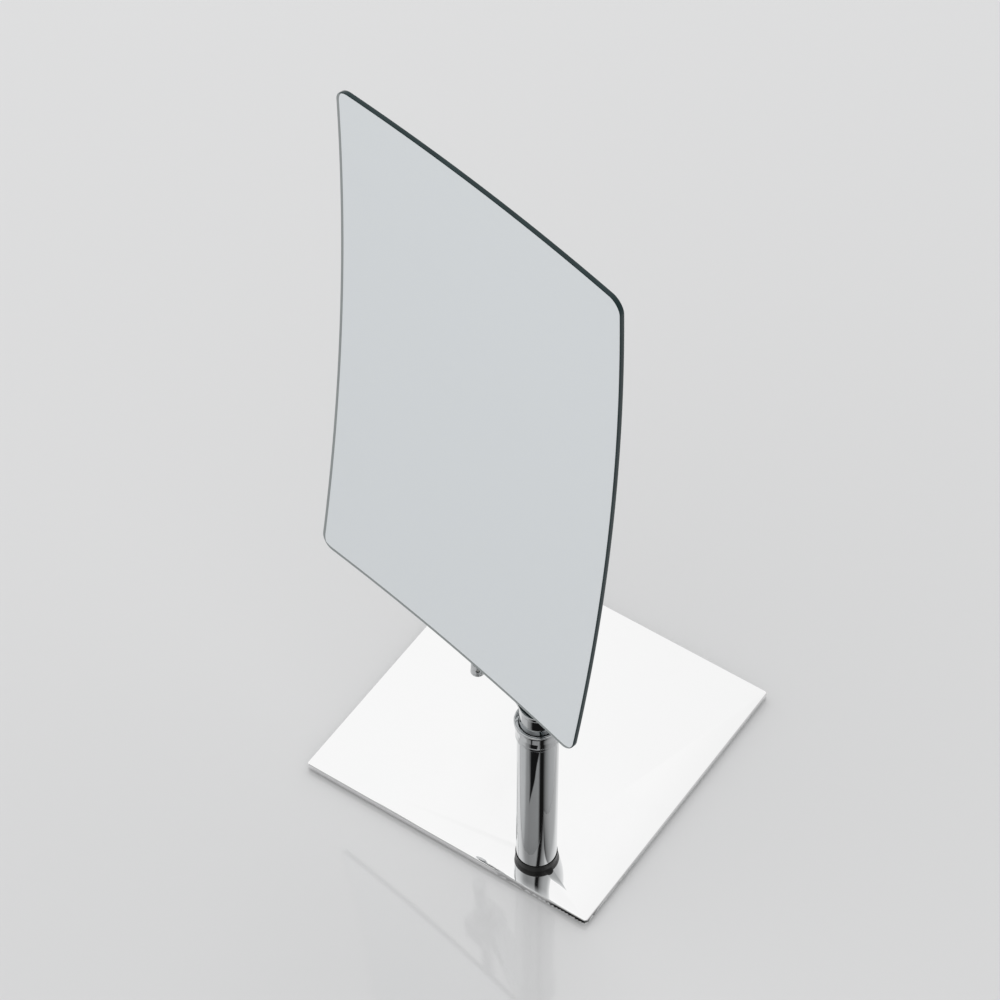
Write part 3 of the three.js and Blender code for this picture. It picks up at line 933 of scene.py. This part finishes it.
# Moves a point of the square-cornered grid to the panel's round corner.
def roundCorner(x, z, shrink):
    radius = glass["corner"]
    halfWidth = glass["width"] / 2 - radius
    halfHeight = glass["height"] / 2 - radius
    overX = max(abs(x) - halfWidth, 0) / radius
    overZ = max(abs(z) - halfHeight, 0) / radius
    reach = radius - shrink
    sideX = overX * math.sqrt(1 - overZ ** 2 / 2) * reach
    sideZ = overZ * math.sqrt(1 - overX ** 2 / 2) * reach
    flatX = math.copysign(min(abs(x), halfWidth) + sideX, x)
    flatZ = math.copysign(min(abs(z), halfHeight) + sideZ, z)
    partX = flatX / (glass["width"] / 2)
    partZ = flatZ / (glass["height"] / 2)
    bowX = partX * glass["sideBow"] * (1 - partZ ** 2)
    bowZ = partZ * glass["endBow"] * (1 - partX ** 2)
    return flatX + bowX, flatZ + bowZ


# The flat glass before it is dished: front at y = 0, back at y = thickness.
def flatPanel():
    columns = gridLines(glass["width"], glass["across"])
    rows = gridLines(glass["height"], glass["up"])
    shape = bmesh.new()

    def point(i, j, shrink, depth):
        x, z = roundCorner(columns[i], rows[j], shrink)
        return shape.verts.new((x * mm, depth * mm, z * mm))

    bevel, steps = glass["bevel"], glass["bevelSteps"]
    sheets = {}
    for depth in (0, glass["thickness"]):
        sheets[depth] = [[point(i, j, bevel, depth) for i in range(len(columns))] for j in range(len(rows))]
    lastColumn, lastRow = len(columns) - 1, len(rows) - 1
    for depth, sheet in sheets.items():
        for j in range(lastRow):
            for i in range(lastColumn):
                square = [sheet[j][i], sheet[j][i + 1], sheet[j + 1][i + 1], sheet[j + 1][i]]
                face = shape.faces.new(square if depth == 0 else square[::-1])
                # The first column and row, the left and lower border, carry the painted band.
                region = "Margin" if i == 0 or j == 0 else "Silver"
                face.material_index = regionNumber[region if depth == 0 else "Back"]
    loop = [(i, 0) for i in range(lastColumn)] + [(lastColumn, j) for j in range(lastRow)]
    loop += [(i, lastRow) for i in range(lastColumn, 0, -1)] + [(0, j) for j in range(lastRow, 0, -1)]
    bands = [[sheets[0][j][i] for i, j in loop]]
    turns = [math.pi / 2 * k / steps for k in range(1, steps + 1)]
    for turn in turns:
        shrink, depth = bevel * (1 - math.sin(turn)), bevel * (1 - math.cos(turn))
        bands.append([point(i, j, shrink, depth) for i, j in loop])
    for turn in reversed(turns):
        shrink, depth = bevel * (1 - math.sin(turn)), glass["thickness"] - bevel * (1 - math.cos(turn))
        bands.append([point(i, j, shrink, depth) for i, j in loop])
    bands.append([sheets[glass["thickness"]][j][i] for i, j in loop])
    for k, (near, far) in enumerate(zip(bands, bands[1:])):
        for n in range(len(loop)):
            m = (n + 1) % len(loop)
            face = shape.faces.new((near[n], far[n], far[m], near[m]))
            keepsDarkEdge = lastColumn <= n < 2 * lastColumn + lastRow    # right and top bevels keep the dark glass edge; the others get the painted bevel grey
            face.material_index = regionNumber["Edge" if k == steps or keepsDarkEdge else "Bevel"]
    return toMesh(shape, "flatPanel")


# Geometry Nodes that press a flat panel into a sphere of the dish radius and dress its regions.
def dishTree():
    tree = bpy.data.node_groups.new("dish", "GeometryNodeTree")
    face = tree.interface
    face.new_socket("Geometry", in_out="INPUT", socket_type="NodeSocketGeometry")
    sizes = ("Dish Radius", "Half Width", "Half Height", "Shift", "Low")
    inputs = {name: face.new_socket(name, in_out="INPUT", socket_type="NodeSocketFloat") for name in sizes}
    for name in glassRegions:
        inputs[name] = face.new_socket(name, in_out="INPUT", socket_type="NodeSocketMaterial")
    face.new_socket("Geometry", in_out="OUTPUT", socket_type="NodeSocketGeometry")
    board = Board(tree)
    entry = tree.nodes.new("NodeGroupInput")
    radius, halfWidth, halfHeight, shift, low = (Wire(board, entry.outputs[name]) for name in sizes)
    spot = board.add("GeometryNodeInputPosition")
    x, z = (board.add("ShaderNodeSeparateXYZ", None, [spot], axis) for axis in "XZ")
    deepest = (radius * radius - halfWidth * halfWidth - halfHeight * halfHeight) ** 0.5
    depth = (radius * radius - x * x - z * z) ** 0.5 - deepest
    offset = board.add("ShaderNodeCombineXYZ", None, {"X": shift, "Y": depth, "Z": halfHeight + low})
    blank = Wire(board, entry.outputs["Geometry"])
    move = board.add("GeometryNodeSetPosition", None, {"Geometry": blank, "Offset": offset})
    dressed = board.add("GeometryNodeRealizeInstances", None, [move])
    region = board.add("GeometryNodeInputMaterialIndex")
    for name, number in regionNumber.items():
        values = {"Geometry": dressed, "Selection": region.math("COMPARE", number, 0.5),
                  "Material": Wire(board, entry.outputs[name])}
        dressed = board.add("GeometryNodeSetMaterial", None, values)
    board.add("NodeGroupOutput", None, {"Geometry": dressed})
    return tree, inputs


def mirrorGlass():
    blank = flatPanel()
    values = {"Dish Radius": glass["dishRadius"] * mm, "Half Width": glass["width"] / 2 * mm,
              "Half Height": glass["height"] / 2 * mm, "Shift": glass["shift"] * mm, "Low": glass["low"] * mm}
    for name, finish in glassRegions.items():
        values[name] = finish()
        blank.materials.append(values[name])
    mesh = grown(blank, *dishTree(), values)
    mesh.transform(headPlace)
    keep(mesh, "mirror_glass_ground", ["mirror_glass"])


mirrorGlass()
print("glass made")
